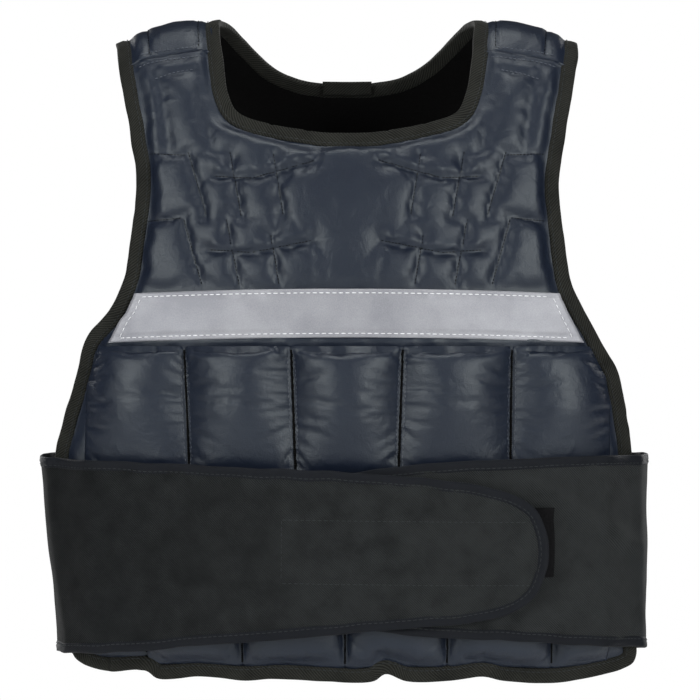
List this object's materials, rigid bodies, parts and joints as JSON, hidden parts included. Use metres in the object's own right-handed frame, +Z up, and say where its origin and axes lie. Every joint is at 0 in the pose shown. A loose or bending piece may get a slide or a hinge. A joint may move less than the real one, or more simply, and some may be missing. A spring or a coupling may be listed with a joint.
{
  "type": "weighted training vest",
  "caption": "Sleeveless padded training vest with rows of weight pockets front and back, a pale chest strip and a wrap-round waist belt closed by hook-and-loop.",
  "frame": {"origin": "where the straps rest on the shoulders: the underside of the straps at their highest, midway between the two straps", "axes": "+Z up, +X towards the right of a viewer who faces the front, -Y out of the front"},
  "size_m": [0.4648, 0.2393, 0.5073],
  "materials": {
    "shell_nylon": "semi-gloss woven nylon, padded and quilted",
    "binding_tape": "matte twill tape",
    "reflective": "pale grey retroreflective cloth",
    "belt_cloth": "matte diagonal twill",
    "belt_edging": "smooth woven tape",
    "fastener": "hook-and-loop pile"
  },
  "bodies": {
    "root": {"front_panel": "shell_nylon", "back_panel": "shell_nylon", "shoulder_pad_left": "shell_nylon", "shoulder_pad_right": "shell_nylon", "edge_binding": "binding_tape", "neck_binding": "binding_tape", "hang_loop": "binding_tape", "reflective_strip": "reflective", "front_pocket_upper_1": "shell_nylon", "front_pocket_upper_2": "shell_nylon", "front_pocket_upper_3": "shell_nylon", "front_pocket_upper_4": "shell_nylon", "front_pocket_upper_5": "shell_nylon", "front_pocket_lower_1": "shell_nylon", "front_pocket_lower_2": "shell_nylon", "front_pocket_lower_3": "shell_nylon", "front_pocket_lower_4": "shell_nylon", "front_pocket_lower_5": "shell_nylon", "front_pocket_lower_6": "shell_nylon", "back_pocket_upper_1": "shell_nylon", "back_pocket_upper_2": "shell_nylon", "back_pocket_upper_3": "shell_nylon", "back_pocket_upper_4": "shell_nylon", "back_pocket_upper_5": "shell_nylon", "back_pocket_lower_1": "shell_nylon", "back_pocket_lower_2": "shell_nylon", "back_pocket_lower_3": "shell_nylon", "back_pocket_lower_4": "shell_nylon", "back_pocket_lower_5": "shell_nylon", "back_pocket_lower_6": "shell_nylon", "belt_wing_left": "belt_cloth", "belt_binding_left": "belt_edging", "belt_wing_right": "belt_cloth", "belt_binding_right": "belt_edging", "loop_patch": "fastener", "hook_patch": "fastener"}
  },
  "joints": []
}
